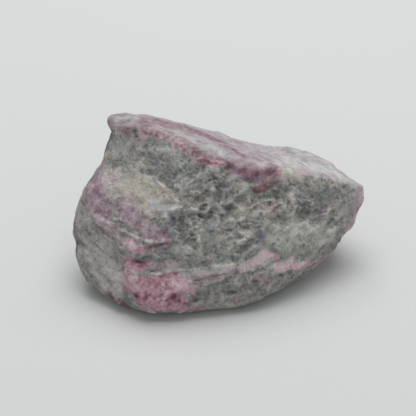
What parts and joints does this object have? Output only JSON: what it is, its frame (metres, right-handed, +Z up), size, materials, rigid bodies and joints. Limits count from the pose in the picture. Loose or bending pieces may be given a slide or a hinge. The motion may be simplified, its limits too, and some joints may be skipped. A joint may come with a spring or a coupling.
{
  "type": "raw ruby crystal",
  "caption": "Loose hand-sized chip of raw ruby in grey mica-schist matrix, with a rough broad face, a smooth sloping top and a flat underside to rest on.",
  "frame": {"origin": "on the resting plane, under the middle of the stone's bounding box", "axes": "+X along the stone from its thick end to its thin wedge end, -Y out of the broad rough face, +Z up"},
  "size_m": [0.046, 0.029, 0.0249],
  "materials": {
    "ruby_in_matrix": "grey-green granular mica schist with pink to purple ruby patches, dull broken faces with small glints"
  },
  "bodies": {
    "root": {"ruby_stone": "ruby_in_matrix"}
  },
  "joints": []
}
